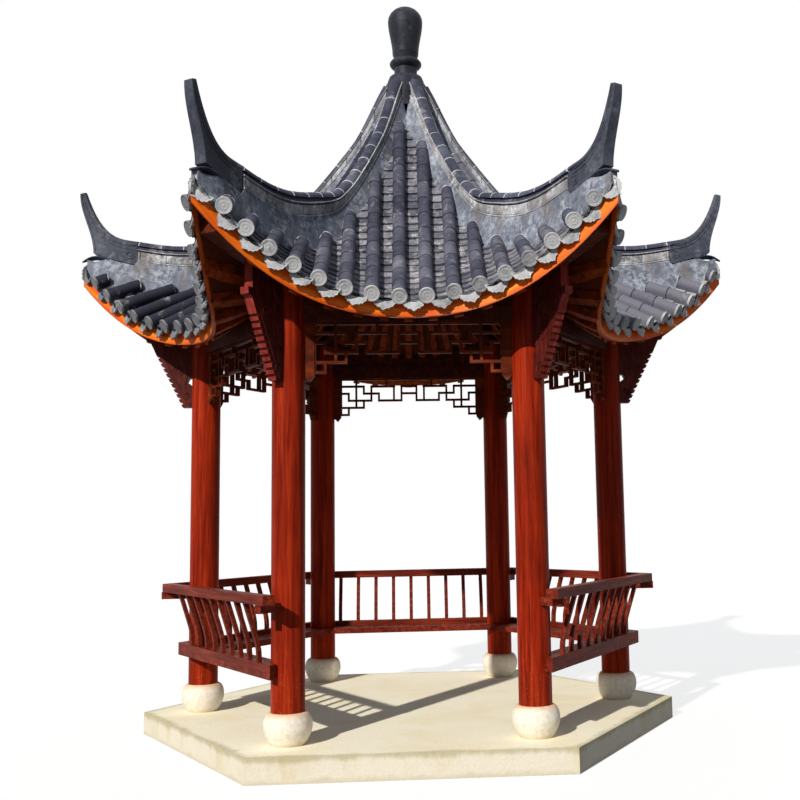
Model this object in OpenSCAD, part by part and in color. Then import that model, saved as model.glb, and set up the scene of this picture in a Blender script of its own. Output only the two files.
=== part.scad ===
// Garden pavilion on six columns, with benches and an upswept tiled roof.
// Millimetres, Z up, the open front bay faces -Y.

/* [Plan] */
// distance from the centre to each column
column_r = 1600; // [1400:10:1900]
// column diameter
column_d = 220; // [180:5:260]

/* [Platform] */
// platform width past the column centres, at the corners
slab_over = 440; // [300:10:700]
// platform height
slab_h = 160; // [100:5:300]
// chamfer of the platform edge
slab_chamfer = 12; // [4:1:30]
// column stone height
plinth_h = 205; // [150:5:280]
// column stone bulge past the column
plinth_bulge = 48; // [25:1:80]

/* [Beams] */
// underside of the tie beams
beam_z = 2900; // [2700:10:3200]
// tie beam height
beam_h = 105; // [80:5:160]
// tie beam width
beam_w = 100; // [70:5:140]
// lowest height of the plate between tie beam and rafters
plate_h = 44; // [40:1:80]
// plate width
plate_w = 80; // [50:5:90]
// corner beam width
hip_beam_w = 110; // [80:5:140]
// corner beam depth
hip_beam_d = 150; // [100:5:200]
// king post diameter
king_d = 240; // [200:5:300]
// length of the king post below the corner beams
king_drop = 260; // [120:10:500]

/* [Roof] */
// eave past the column line, at the middle of a side
eave_over = 314; // [200:5:450]
// eave past the column line, at the corners
corner_over = 840; // [600:10:1000]
// how sharply the eave bows out to the corners
eave_bow = 2.1; // [1.6:0.1:3]
// rise of the roof from the eave to the apex
roof_rise = 2090; // [1600:10:2600]
// slope at the apex
apex_slope = 1.995; // [1.6:0.01:2.4]
// slope at the eave
eave_slope = 0.608; // [0.4:0.01:0.9]
// lift of the corners above the straight eave
corner_lift = 950; // [500:10:1200]
// how late the corners start to lift
lift_bow = 1.4; // [1.2:0.1:2]
// where the lift starts, inside the column line
lift_in = 486; // [300:10:700]
// vertical thickness of boards, bedding and pan tiles
panel_t = 85; // [60:1:110]
// eave board height
fascia_h = 125; // [90:1:160]
// eave board thickness
fascia_t = 30; // [20:1:45]
// rafter width
rafter_w = 55; // [40:1:80]
// rafter depth
rafter_h = 60; // [40:1:90]
// rafters under each side
rafter_n = 11; // [7:2:13]

/* [Tile rows] */
// rows of cover tiles on a side
tile_row_n = 16; // [12:1:20]
// along the eave, from its left corner to the first row
tile_left = 235; // [150:5:300]
// along the eave, from the last row to its right corner
tile_right = 170; // [150:5:300]
// cover tile radius
tile_r = 49; // [40:1:60]
// straight wall under the half round
tile_wall = 44; // [20:1:60]
// reach of the rows past the eave boards
tile_reach = 55; // [20:5:90]
// longest straight run of tiles in a row
tile_run = 430; // [250:10:600]
// joint between the runs
tile_joint = 14; // [8:1:24]

/* [Ridges] */
// ridge half width at its foot
ridge_foot = 100; // [80:1:120]
// ridge height near the apex
ridge_h_top = 270; // [200:5:340]
// further ridge height near the corners
ridge_h_more = 115; // [60:5:160]
// radius where the ridge starts to grow
ridge_grow_r = 800; // [500:10:1000]
// length over which the ridge grows
ridge_grow_len = 600; // [300:10:900]
// radius where the ridge thins again
ridge_thin_r = 1500; // [1300:10:1900]
// height of the ridge base under the horns
horn_base_h = 150; // [100:5:220]
// horn width
horn_w = 84; // [60:1:110]
// horn thickness at the tip
horn_t = 46; // [30:1:70]
// height of the horn tips above the ridge
horn_rise = 400; // [250:10:550]

/* [Finial] */
// collar radius where the ridges meet
collar_r = 176; // [170:1:220]
// collar height
collar_h = 283; // [200:1:360]
// finial base radius
finial_r = 136; // [110:1:160]
// finial height above the collar
finial_h = 615; // [450:5:800]

/* [Lattice] */
// grid columns across a panel
grid_n = 18; // [18:1:18]
// grid square height
grid_h = 66; // [50:1:80]
// lattice bar width
bar_w = 18; // [12:1:24]
// lattice bar depth
bar_d = 36; // [24:1:50]
// stile width
stile_w = 62; // [45:1:80]
// stile depth
stile_d = 52; // [40:1:70]

/* [Benches] */
// top of the seat above the platform
seat_h = 472; // [400:5:520]
// seat board thickness
seat_t = 48; // [35:1:60]
// seat board depth
seat_depth = 285; // [250:5:360]
// seat past the column line, outward
seat_out = 165; // [140:5:200]
// bottom rail height
foot_rail_h = 44; // [30:1:60]
// bottom rail width
foot_rail_w = 56; // [40:1:70]
// rise from the bottom rail to the top rail
slat_rise = 384; // [300:2:450]
// outward lean of the back
slat_lean = 98; // [60:2:140]
// slat width
slat_w = 31; // [22:1:40]
// slat thickness
slat_t = 28; // [20:1:40]
// slats in each back
slat_n = 9; // [7:1:13]
// top rail height
top_rail_h = 62; // [45:1:80]
// top rail width
top_rail_w = 80; // [60:1:100]
// length of the top rails past the mitre at the entrance
rail_end = 104; // [40:1:140]
// rail arm height
arm_h = 54; // [40:1:70]
// rail arm width
arm_w = 50; // [36:1:70]

/* [Brackets] */
// bracket thickness
bracket_t = 64; // [45:1:90]
// bracket drop below the column head
bracket_drop = 700; // [500:10:800]
// bracket width past the column, at its foot
bracket_foot = 52; // [30:1:80]
// bracket reach at its cap
bracket_reach = 355; // [280:5:450]
// height of the cap and the tall block under the column head
bracket_head = 293; // [240:1:350]
// height of the tall block
bracket_block = 110; // [70:1:150]
// cap height
cap_h = 50; // [30:1:70]
// how far the cap stands out over the block
cap_out = 32; // [15:1:50]
// carved steps along the outer edge
tooth_n = 10; // [6:1:14]
// how far a step stands out
tooth_out = 15; // [8:1:25]
// width of the opening beside the column
eye_w = 36; // [20:1:60]
// height of the opening above the bracket's foot
eye_z = 165; // [120:1:220]

/* [Fits] */
// gap between boards that meet at a mitre
mitre_gap = 1; // [0.5:0.5:3]
// packing gap between rafters and roof boards
rafter_gap = 3; // [2:0.5:6]

/* [Hidden] */
$fn = 64;
bay_half = 30;
// distance from the centre to the column line
col_u = column_r * cos(bay_half);
eave_u = col_u + eave_over;
corner_u = col_u + corner_over;
lift_u = col_u - lift_in;
top_u = (collar_r + 2) * cos(bay_half);
beam_top = beam_z + beam_h;
roof_seat = beam_top + plate_h + rafter_h + rafter_gap + panel_t;
under = panel_t + rafter_gap;
seat_top = slab_h + seat_h;
foot_top = seat_top + foot_rail_h;
rail_z = foot_top + slat_rise;
seat_outer = col_u + seat_out;
foot_mid = seat_outer - foot_rail_w / 2;
rail_mid = foot_mid + slat_lean;
clear_half = column_r / 2 - column_d / 2;
roof_rows = 12;
roof_cols = 14;
horn_row = 10;
eave_marks = 60;
tile_gap = 0.3;
ridge_gap = 3;
run_marks = 10;

// Roof form: height over a side at distance u from the centre, t from hip to hip
function ease(x) = x <= 0 ? 0 : x >= 1 ? 1 : x * x * (3 - 2 * x);
function rise_in(s) = roof_rise * (2 * s * s * s - 3 * s * s + 1)
    - eave_u * apex_slope * (s * s * s - 2 * s * s + s)
    - eave_u * eave_slope * (s * s * s - s * s);
function rise(u) = u < eave_u ? rise_in(u / eave_u) : -eave_slope * (u - eave_u);
function lift(u) = u < lift_u ? 0 : corner_lift * pow((u - lift_u) / (corner_u - lift_u), lift_bow);
function roof_z(u, t) = roof_seat + rise(u) - rise(col_u) + lift(u) * t * t;
function eave_at(t) = eave_u + (corner_u - eave_u) * pow(abs(t), eave_bow);
function row_u(i, t) = top_u + (eave_at(t) - fascia_t - top_u) * i / roof_rows;
function hip_z(r) = roof_z(r * cos(bay_half), 1);
function hip_at(i) = row_u(i, 1) / cos(bay_half);
// height of the roof beside a hip, at radius r and sideways distance d
function side_u(r, d) = r * cos(bay_half) + d * sin(bay_half);
function side_t(r, d) = (r * sin(bay_half) - d * cos(bay_half)) / (side_u(r, d) * tan(bay_half));
function side_z(r, d) = roof_z(side_u(r, d), side_t(r, d));
function on_side(u, t, z) = [u, u * t * tan(bay_half), z];
function ridge_h(r) = ridge_h_top + ridge_h_more * ease((r - ridge_grow_r) / ridge_grow_len)
    - 0.06 * max(0, r - ridge_thin_r);
function ridge_top(r) = hip_z(r) + ridge_h(r);
corner_r = corner_u / cos(bay_half);
horn_r = hip_at(horn_row);
function beam_foot(r) = hip_z(r) - panel_t - hip_beam_d;
head_z = min([for (d = [-1:1]) beam_foot(column_r + d * column_d / 2)]);
cut_h = 2 * beam_z;

// Loft through rings: each ring is its right side upward, its left side downward
// and an optional keel point
function flat(l) = [for (a = l) for (b = a) b];
function quad(a, b, c, d) = [[a, b, c], [a, c, d]];
module loft(rings, pairs, keel = false) {
    m = len(rings[0]);
    e = (len(rings) - 1) * m;
    walls = flat([for (i = [0:len(rings) - 2]) for (j = [0:m - 1])
        quad(i * m + j, i * m + (j + 1) % m, (i + 1) * m + (j + 1) % m, (i + 1) * m + j)]);
    first = keel ? 1 : 0;
    near = flat([for (j = [first:pairs - 2]) quad(j + 1, j, 2 * pairs - 1 - j, 2 * pairs - 2 - j)]);
    far = flat([for (j = [first:pairs - 2])
        quad(e + j, e + j + 1, e + 2 * pairs - 2 - j, e + 2 * pairs - 1 - j)]);
    k = m - 1;
    near_keel = keel ? [[k, 1, 0], [k, k - 2, 1], [k, k - 1, k - 2]] : [];
    far_keel = keel
        ? [[e + k, e, e + 1], [e + k, e + 1, e + k - 2], [e + k, e + k - 2, e + k - 1]]
        : [];
    polyhedron(flat(rings), concat(walls, near, far, near_keel, far_keel));
}

module bay(k) {
    rotate([0, 0, -150 + 60 * k])
        children();
}

module corner(k) {
    rotate([0, 0, -120 + 60 * k])
        children();
}

module column_cut(extra = 0) {
    for (s = [-1, 1])
        translate([col_u, s * column_r / 2, 0])
            cylinder(h = cut_h, d = column_d + extra);
}

module platform() {
    color("wheat")
        intersection() {
            cylinder(h = slab_h, r = column_r + slab_over, $fn = 6);
            cylinder(h = 2 * slab_h + slab_over, r1 = column_r + slab_over + slab_h + slab_chamfer,
                r2 = column_r + slab_over - slab_h - slab_chamfer, $fn = 6);
        }
}

// drum stone: narrow foot, belly widest above the middle, and a round shoulder under the column
function drum_r(s) = column_d / 2 + plinth_bulge
    * (s < 0.6 ? sin(150 * s) : 0.08 + 0.92 * sqrt(max(0, 1 - pow((s - 0.6) / 0.4, 2))));
function drum_s(i) = i < 9 ? i / 15 : 0.6 + 0.4 * sin((i - 9) * 15);

module plinths() {
    color("gainsboro")
        for (k = [1:6])
            corner(k)
                translate([column_r, 0, slab_h])
                    rotate_extrude()
                        polygon(concat(
                            [[0, 0]],
                            [for (i = [0:15]) [drum_r(drum_s(i)), plinth_h * drum_s(i)]],
                            [[0, plinth_h]]
                        ));
}

module column(k) {
    color("sienna")
        corner(k)
            translate([column_r, 0, slab_h + plinth_h])
                cylinder(h = head_z - slab_h - plinth_h, d = column_d);
}

module tie_beams() {
    color("saddlebrown")
        for (k = [1:6])
            bay(k)
                difference() {
                    translate([col_u - beam_w / 2, -column_r / 2, beam_z])
                        cube([beam_w, column_r, beam_h]);
                    column_cut();
                }
}

module eave_plates() {
    reach = clear_half + column_d / 2 - sqrt(pow(column_d / 2, 2) - pow(plate_w / 2, 2));
    n = 12;
    color("saddlebrown")
        for (k = [1:6])
            bay(k)
                loft([for (i = [0:n])
                    let (v = -reach + 2 * reach * i / n)
                    let (o = col_u + plate_w / 2, w = col_u - plate_w / 2)
                    [
                        [o, v, beam_top],
                        [o, v, roof_z(o, v / (o * tan(bay_half))) - under - rafter_h],
                        [w, v, roof_z(w, v / (w * tan(bay_half))) - under - rafter_h],
                        [w, v, beam_top]
                    ]], 2);
}

// fretwork runs on the left half of a panel: row or column, from, to
cross_runs = [
    [0, 0, 9], [1, 0, 3], [1, 4, 7], [1, 8, 9], [2, 0, 1], [2, 3, 5],
    [2, 8, 9], [3, 1, 4], [3, 5, 8], [4, 0, 3], [5, 0, 1]
];
upright_runs = [
    [0, 0, 5], [1, 2, 3], [1, 4, 5], [2, 0, 4], [3, 1, 2], [3, 3, 4],
    [4, 1, 3], [5, 2, 3], [6, 0, 1], [7, 1, 3], [8, 1, 3]
];

module hanging_lattice(k) {
    half = clear_half - stile_w;
    pitch = 2 * half / grid_n;
    color("maroon")
        bay(k)
            difference() {
                union() {
                    for (s = [-1, 1]) {
                        for (c = cross_runs)
                            translate([col_u - bar_d / 2, 0, beam_z - c[0] * grid_h - bar_w])
                                mirror([0, s < 0 ? 1 : 0, 0])
                                    translate([0, -half + c[1] * pitch, 0])
                                        cube([bar_d, (c[2] - c[1]) * pitch + bar_w / 2, bar_w]);
                        for (c = upright_runs)
                            translate([col_u - bar_d / 2, 0, beam_z - c[2] * grid_h - bar_w])
                                mirror([0, s < 0 ? 1 : 0, 0])
                                    translate([0, -half + c[0] * pitch - bar_w / 2, 0])
                                        cube([bar_d, bar_w, (c[2] - c[1]) * grid_h + bar_w]);
                        mirror([0, s < 0 ? 1 : 0, 0])
                            stile();
                    }
                }
                column_cut();
            }
}

// plain hanging stile beside a column, with a pointed foot
module stile() {
    drop = 5 * grid_h + bar_w + 55;
    translate([col_u - stile_d / 2, 0, 0])
        rotate([90, 0, 90])
            linear_extrude(stile_d)
                polygon([
                    [-clear_half - stile_d / 4, beam_z],
                    [-clear_half + stile_w, beam_z],
                    [-clear_half + stile_w, beam_z - drop + 40],
                    [-clear_half + stile_w / 2, beam_z - drop],
                    [-clear_half - stile_d / 4, beam_z - drop + 40]
                ]);
}

// bracket outline beside a column: carved steps, a tall block and a cap under the corner beam
module bracket_outline() {
    foot_z = head_z - bracket_drop;
    out_r = column_r + column_d / 2;
    in_r = column_r + column_d / 4;
    foot_r = out_r + bracket_foot;
    cap_r = out_r + bracket_reach;
    knee_z = head_z - bracket_head;
    cap_z = knee_z + bracket_block;
    knee_r = cap_r - cap_out - 0.6 * bracket_block;
    neck_r = cap_r - 1.2 * cap_out;
    dr = (knee_r - foot_r) / tooth_n;
    dz = (knee_z - foot_z) / tooth_n;
    polygon(concat(
        [[in_r, foot_z]],
        flat([for (i = [0:tooth_n - 1]) [
            [foot_r + dr * i + tooth_out, foot_z + dz * i],
            [foot_r + dr * (i + 0.6) + tooth_out, foot_z + dz * (i + 0.6)],
            [foot_r + dr * (i + 0.6), foot_z + dz * (i + 0.62)],
            [foot_r + dr * (i + 1), foot_z + dz * (i + 0.98)]
        ]]),
        [
            [knee_r + tooth_out, knee_z], [cap_r - cap_out, cap_z],
            [cap_r, cap_z + 6], [cap_r + 4, cap_z + cap_h], [neck_r, cap_z + cap_h]
        ],
        [for (i = [0:6])
            let (r = neck_r + (in_r - neck_r) * i / 6)
            [r, beam_foot(r) - 0.5]]
    ));
}

module corner_brackets() {
    low = head_z - bracket_drop + eye_z;
    face_r = column_r + column_d / 2;
    color("firebrick")
        for (k = [1:6])
            corner(k)
                difference() {
                    translate([0, bracket_t / 2, 0])
                        rotate([90, 0, 0])
                            linear_extrude(bracket_t)
                                bracket_outline();
                    translate([0, bracket_t, 0])
                        rotate([90, 0, 0])
                            linear_extrude(2 * bracket_t)
                                polygon([
                                    [face_r - 12, low],
                                    [face_r + eye_w, low + eye_w],
                                    [face_r + 0.6 * eye_w, low + 1.8 * eye_w],
                                    [face_r - 12, low + 1.9 * eye_w]
                                ]);
                    translate([column_r, 0, 0])
                        cylinder(h = cut_h, d = column_d);
                }
}

module corner_beams() {
    h = hip_beam_w / 2;
    stops = concat(
        [king_d / 2 - 16],
        [for (i = [0:roof_rows - 1]) hip_at(i)],
        [hip_at(roof_rows) - 2.2 * h]
    );
    color("saddlebrown")
        difference() {
            for (k = [1:6])
                corner(k)
                    loft([for (r = stops) [
                        [r, -h, beam_foot(r)],
                        [r, -h, side_z(r, h) - panel_t],
                        [r, -4, side_z(r, 4) - panel_t],
                        [r, 4, side_z(r, 4) - panel_t],
                        [r, h, side_z(r, h) - panel_t],
                        [r, h, beam_foot(r)]
                    ]], 3);
            cylinder(h = cut_h, d = king_d);
        }
}

module king_post() {
    top = hip_z(hip_at(0)) + ridge_h_top - 110;
    foot = beam_foot(hip_at(0)) - king_drop;
    color("saddlebrown")
        rotate_extrude()
            polygon([
                [0, foot], [king_d * 0.3, foot], [king_d * 0.5, foot + 60],
                [king_d * 0.5, top], [0, top]
            ]);
}

module rafters() {
    color("saddlebrown")
        for (k = [1:6])
            bay(k)
                for (j = [0:rafter_n - 1])
                    rafter(-0.82 + 1.64 * j / (rafter_n - 1));
}

module rafter(t) {
    w = rafter_w / 2;
    tan_b = tan(bay_half);
    from = max(5, ceil((200 / (1 - abs(t)) - top_u) / (eave_at(t) - top_u) * roof_rows));
    loft([for (i = [from:roof_rows])
        let (u = row_u(i, t), v = u * t * tan_b)
        let (a = i < roof_rows ? u : eave_at((v - w) / (u * tan_b)) - fascia_t - 1)
        let (b = i < roof_rows ? u : eave_at((v + w) / (u * tan_b)) - fascia_t - 1)
        let (za = roof_z(a, (v - w) / (a * tan_b)) - under)
        let (zb = roof_z(b, (v + w) / (b * tan_b)) - under)
        [[a, v - w, za - rafter_h], [a, v - w, za], [b, v + w, zb], [b, v + w, zb - rafter_h]]
    ], 2);
}

module roof_panel(k) {
    color("dimgray")
        bay(k)
            loft([for (i = [0:roof_rows])
                concat(
                    [for (j = [0:roof_cols]) panel_point(i, -1 + 2 * j / roof_cols, 0)],
                    [for (j = [0:roof_cols]) panel_point(i, 1 - 2 * j / roof_cols, panel_t)]
                )], roof_cols + 1);
}

function panel_point(i, t, down) =
    let (u = row_u(i, t))
    on_side(u, t, roof_z(u, t) - down);

module eave_fascia() {
    n = roof_cols;
    color("orangered")
        for (k = [1:6])
            bay(k)
                loft([for (j = [0:n])
                    let (t = -1 + 2 * j / n)
                    let (o = eave_at(t), w = o - fascia_t)
                    [
                        on_side(o, t, roof_z(w, t) - fascia_h),
                        on_side(o, t, roof_z(w, t)),
                        on_side(w, t, roof_z(w, t)),
                        on_side(w, t, roof_z(w, t) - fascia_h)
                    ]], 2);
}

// eave boards' outer top edge: its sideways place with its height or its distance from the centre
function eave_edge(j) =
    let (t = -1 + 2 * j / roof_cols)
    on_side(eave_at(t), t, roof_z(eave_at(t) - fascia_t, t));
edge_heights = [for (j = [0:roof_cols]) [eave_edge(j)[1], eave_edge(j)[2]]];
edge_places = [for (j = [0:roof_cols]) [eave_edge(j)[1], eave_edge(j)[0]]];

// rows of cover tiles stand at even distances along the curved eave
eave_line = [for (i = [0:eave_marks])
    let (t = -1 + 2 * i / eave_marks)
    on_side(eave_at(t), t, roof_z(eave_at(t), t))];
function eave_length(i) = i == 0 ? 0 : eave_length(i - 1) + norm(eave_line[i] - eave_line[i - 1]);
eave_lengths = [for (i = [0:eave_marks]) [eave_length(i), eave_line[i][1]]];
tile_pitch = (eave_length(eave_marks) - tile_left - tile_right) / (tile_row_n - 1);
function tile_v(n) = lookup(tile_left + n * tile_pitch, eave_lengths);

// height of the roof panel's facets at u, v
function col_t(j) = -1 + 2 * j / roof_cols;
function plane_z(a, b, c, u, v) =
    let (n = cross(b - a, c - a))
    a[2] - (n[0] * (u - a[0]) + n[1] * (v - a[1])) / n[2];
function row_line(i, j, t) =
    let (a = row_u(i, col_t(j)), b = row_u(i, col_t(j + 1)))
    a * b * (col_t(j + 1) - col_t(j)) / (b * (col_t(j + 1) - t) + a * (t - col_t(j)));
function panel_z(u, v) =
    let (t = v / (u * tan(bay_half)))
    let (j = max(0, min(roof_cols - 1, floor((t + 1) / 2 * roof_cols))))
    let (i = len([for (i = [1:roof_rows - 1]) if (row_line(i, j, t) <= u) i]))
    let (a = panel_point(i, col_t(j), 0), b = panel_point(i, col_t(j + 1), 0))
    let (c = panel_point(i + 1, col_t(j + 1), 0), d = panel_point(i + 1, col_t(j), 0))
    let (beyond = (c[0] - a[0]) * (v - a[1]) - (c[1] - a[1]) * (u - a[0]))
    beyond > 0 ? plane_z(a, b, c, u, v) : plane_z(a, c, d, u, v);

// where the line at v meets a ridge's side
ridge_clear = ridge_foot + ridge_gap;
function ridge_side(v) = (abs(v) + ridge_clear / cos(bay_half)) / tan(bay_half);

// straight runs of half-round tiles over v on all sides, from u0 down to u1; each lies on the highest
// of the points under its edges and its middle
module tile_run(v, u0, u1, last) {
    end = last ? u1 : u1 - tile_joint;
    z0 = panel_z(u0, v);
    fall = (z0 - (last ? lookup(v, edge_heights) : panel_z(end, v))) / (end - u0);
    mid = (u0 + end) / 2;
    tilt = (panel_z(mid, v + tile_r) - panel_z(mid, v - tile_r)) / (2 * tile_r);
    pitch = atan(fall);
    roll = atan(tilt * cos(pitch));
    lines = [for (e = [-1, 0, 1]) [v + e * tile_r * cos(roll), u0 + e * tile_r * sin(roll) * sin(pitch)]];
    on_panel = [for (l = lines)
        for (u = concat([for (i = [0:run_marks]) l[1] + (end - u0) * i / run_marks], [ridge_side(l[0])]))
            if (u >= max(l[1], ridge_side(l[0])) && u <= min(end, lookup(l[0], edge_places) - fascia_t))
                [u, l[0], panel_z(u, l[0])]];
    on_boards = [for (l = lines)
        if (last && lookup(l[0], edge_places) >= ridge_side(l[0]))
            [lookup(l[0], edge_places), l[0], lookup(l[0], edge_heights)]];
    lay = max([for (p = concat(on_panel, on_boards)) p[2] - z0 + fall * (p[0] - u0) - tilt * (p[1] - v)]);
    for (k = [1:6])
        bay(k)
            difference() {
                translate([u0, v, z0 + lay + tile_gap])
                    rotate([0, 90 + pitch, 0])
                        rotate([0, 0, roll])
                            linear_extrude((end - u0 + (last ? tile_reach : 0)) / cos(pitch))
                                tile_section();
                if (u0 < ridge_side(abs(v) + tile_r))
                    beside_ridges();
            }
}

module tile_section() {
    translate([-tile_wall, -tile_r])
        square([tile_wall, 2 * tile_r]);
    translate([-tile_wall, 0])
        intersection() {
            circle(r = tile_r);
            translate([-tile_r, -tile_r])
                square([tile_r, 2 * tile_r]);
        }
}

// the ridges' own room on both edges of a side, cut from the rows
module beside_ridges() {
    for (side = [-1, 1])
        rotate([0, 0, side * bay_half])
            translate([0, side < 0 ? ridge_clear - corner_r : -ridge_clear, 0])
                cube([corner_r, corner_r, 2 * cut_h]);
}

// a row that leaves less than a tile's radius between the ridge and the eave is left out
module tile_row(v) {
    foot = lookup(v, edge_places);
    top = ridge_side(max(0, abs(v) - tile_r));
    head = min(top, foot - 3 * tile_r);
    n = max(1, ceil((foot - head) * 1.3 / tile_run));
    if (foot - top > tile_r)
        for (i = [0:n - 1])
            tile_run(v, head + (foot - head) * i / n, head + (foot - head) * (i + 1) / n, i == n - 1);
}

module tile_rows() {
    color("slategray")
        for (i = [0:tile_row_n - 1])
            tile_row(tile_v(i));
}

// ridge section: share of the foot's half width and of the height, from mortar base to cap
ridge_steps = [
    [0.9, 0.26], [0.62, 0.5], [0.52, 0.55], [0.52, 0.74], [0.68, 0.76],
    [0.68, 0.83], [0.5, 0.85], [0.44, 0.94], [0.22, 1]
];
base_steps = [
    [0.95, 0.3], [0.72, 0.42], [0.68, 0.5], [0.66, 0.6], [0.62, 0.7],
    [0.6, 0.8], [0.58, 0.9], [0.56, 0.95], [0.54, 1]
];

function ridge_ring(r, h, foot, steps) =
    let (z = hip_z(r), low = side_z(r, foot) + 6)
    concat(
        [[r, -foot, low]],
        [for (p = steps) [r, -foot * p[0], z + h * p[1]]],
        [for (i = [len(steps) - 1:-1:0])
            let (p = steps[i])
            [r, foot * p[0], z + h * p[1]]],
        [[r, foot, low], [r, 0, z]]
    );

module hip_ridge(k) {
    color("slategray")
        corner(k)
            loft(concat(
                [for (i = [0:horn_row]) ridge_ring(hip_at(i), ridge_h(hip_at(i)), ridge_foot, ridge_steps)],
                [ridge_ring(horn_r + 1, horn_base_h, ridge_foot, base_steps)],
                [ridge_ring(hip_at(horn_row + 1), horn_base_h, ridge_foot, base_steps)],
                [ridge_ring(corner_r - 80, horn_base_h, ridge_foot * 0.6, base_steps)]
            ), len(ridge_steps) + 1, true);
}

// upswept end of a ridge: hollow-curved back, swelling front and a squared tip
module horn_outline() {
    back_r = horn_r + 1.3;
    tip_r = corner_r - 10;
    front_r = tip_r + horn_t;
    foot_r = corner_r - 80;
    back_z = ridge_top(horn_r);
    tip_z = back_z + horn_rise;
    foot_z = hip_z(foot_r) + horn_base_h;
    polygon(concat(
        [for (i = [0:18])
            let (s = i / 18)
            [back_r + (tip_r - back_r) * s, back_z + horn_rise * pow(s, 3)]],
        [for (i = [14:-1:0])
            let (s = i / 14)
            [foot_r + (front_r - foot_r) * ease(s), foot_z + (tip_z - 12 - foot_z) * s]],
        [[hip_at(horn_row + 1), hip_z(hip_at(horn_row + 1)) + horn_base_h]],
        [[back_r, hip_z(horn_r + 1) + horn_base_h]]
    ));
}

module ridge_horns() {
    color("dimgray")
        for (k = [1:6])
            corner(k)
                translate([0, horn_w / 2, 0])
                    rotate([90, 0, 0])
                        linear_extrude(horn_w)
                            horn_outline();
}

module finial() {
    foot = hip_z(hip_at(0)) + ridge_h_top - 110;
    base = foot + collar_h;
    ring = base + 0.2 * finial_h;
    neck = base + 0.34 * finial_h;
    bulb = base + 0.8 * finial_h;
    top = base + finial_h;
    color("darkslategray")
        rotate_extrude()
            polygon(concat(
                [[0, foot], [collar_r, foot], [collar_r, foot + 114], [finial_r + 12, base - 30]],
                [[finial_r, base], [finial_r * 0.68, base + 16]],
                [for (i = [-4:4]) [finial_r * (0.7 + 0.27 * cos(i * 22.5)), ring + i * 11]],
                [for (i = [0:8]) [finial_r * (0.79 + 0.265 * ease(i / 8)), neck + (bulb - neck) * i / 8]],
                [for (i = [1:6]) [finial_r * 1.055 * cos(i * 15), bulb + (top - bulb) * sin(i * 15)]]
            ));
}

module bench_seats() {
    inner = seat_outer - seat_depth;
    m = mitre_gap / 2 / cos(bay_half);
    color("sienna")
        for (k = [2:6])
            bay(k)
                difference() {
                    translate([0, 0, seat_top - seat_t])
                        linear_extrude(seat_t)
                            polygon([
                                [inner, m - inner * tan(bay_half)],
                                [seat_outer, m - seat_outer * tan(bay_half)],
                                [seat_outer, seat_outer * tan(bay_half) - m],
                                [inner, inner * tan(bay_half) - m]
                            ]);
                    column_cut();
                }
}

// rail mitred at both ends, or cut square past the mitre where low or high gives a length
module rail_bar(mid, width, z, height, low = 0, high = 0) {
    a = mid - width / 2;
    b = mid + width / 2;
    end = mid * tan(bay_half);
    translate([0, 0, z])
        linear_extrude(height)
            polygon([
                [a, low > 0 ? -end - low : -a * tan(bay_half)],
                [b, low > 0 ? -end - low : -b * tan(bay_half)],
                [b, high > 0 ? end + high : b * tan(bay_half)],
                [a, high > 0 ? end + high : a * tan(bay_half)]
            ]);
}

// slat outline: upright at its foot, a soft bend, then a straight lean
function bend(s) = sqrt(pow(s - 0.22, 2) + 0.01) + s - 0.22;

module slat() {
    n = 10;
    path = [for (i = [0:n])
        [foot_mid + slat_lean * (bend(i / n) - bend(0)) / (bend(1) - bend(0)), slat_rise * i / n]];
    translate([0, slat_w / 2, foot_top])
        rotate([90, 0, 0])
            linear_extrude(slat_w)
                polygon(concat(
                    [for (p = path) [p[0] + slat_t / 2, p[1]]],
                    [for (i = [n:-1:0]) [path[i][0] - slat_t / 2, path[i][1]]]
                ));
}

module bench_back(k) {
    span = clear_half - 40;
    color("sienna")
        bay(k + 1) {
            rail_bar(foot_mid, foot_rail_w, seat_top, foot_rail_h);
            for (i = [0:slat_n - 1])
                translate([0, -span + 2 * span * i / (slat_n - 1), 0])
                    slat();
            rail_bar(rail_mid, top_rail_w, rail_z, top_rail_h,
                low = k == 1 ? rail_end : 0, high = k == 5 ? rail_end : 0);
        }
}

module rail_arms() {
    reach = (rail_mid + top_rail_w / 2) / cos(bay_half);
    color("sienna")
        for (k = [1:6])
            corner(k)
                difference() {
                    translate([column_r, -arm_w / 2, rail_z - arm_h])
                        cube([reach - column_r, arm_w, arm_h]);
                    translate([column_r, 0, 0])
                        cylinder(h = cut_h, d = column_d);
                }
}

platform();
plinths();
for (k = [1:6]) column(k);
tie_beams();
eave_plates();
for (k = [1:6]) hanging_lattice(k);
corner_brackets();
corner_beams();
king_post();
rafters();
for (k = [1:6]) roof_panel(k);
eave_fascia();
tile_rows();
for (k = [1:6]) hip_ridge(k);
ridge_horns();
finial();
bench_seats();
rail_arms();
for (k = [1:5]) bench_back(k);
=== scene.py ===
import bpy
import bmesh
import math
import random
import numpy as np
from mathutils import Matrix, Vector, noise


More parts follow.
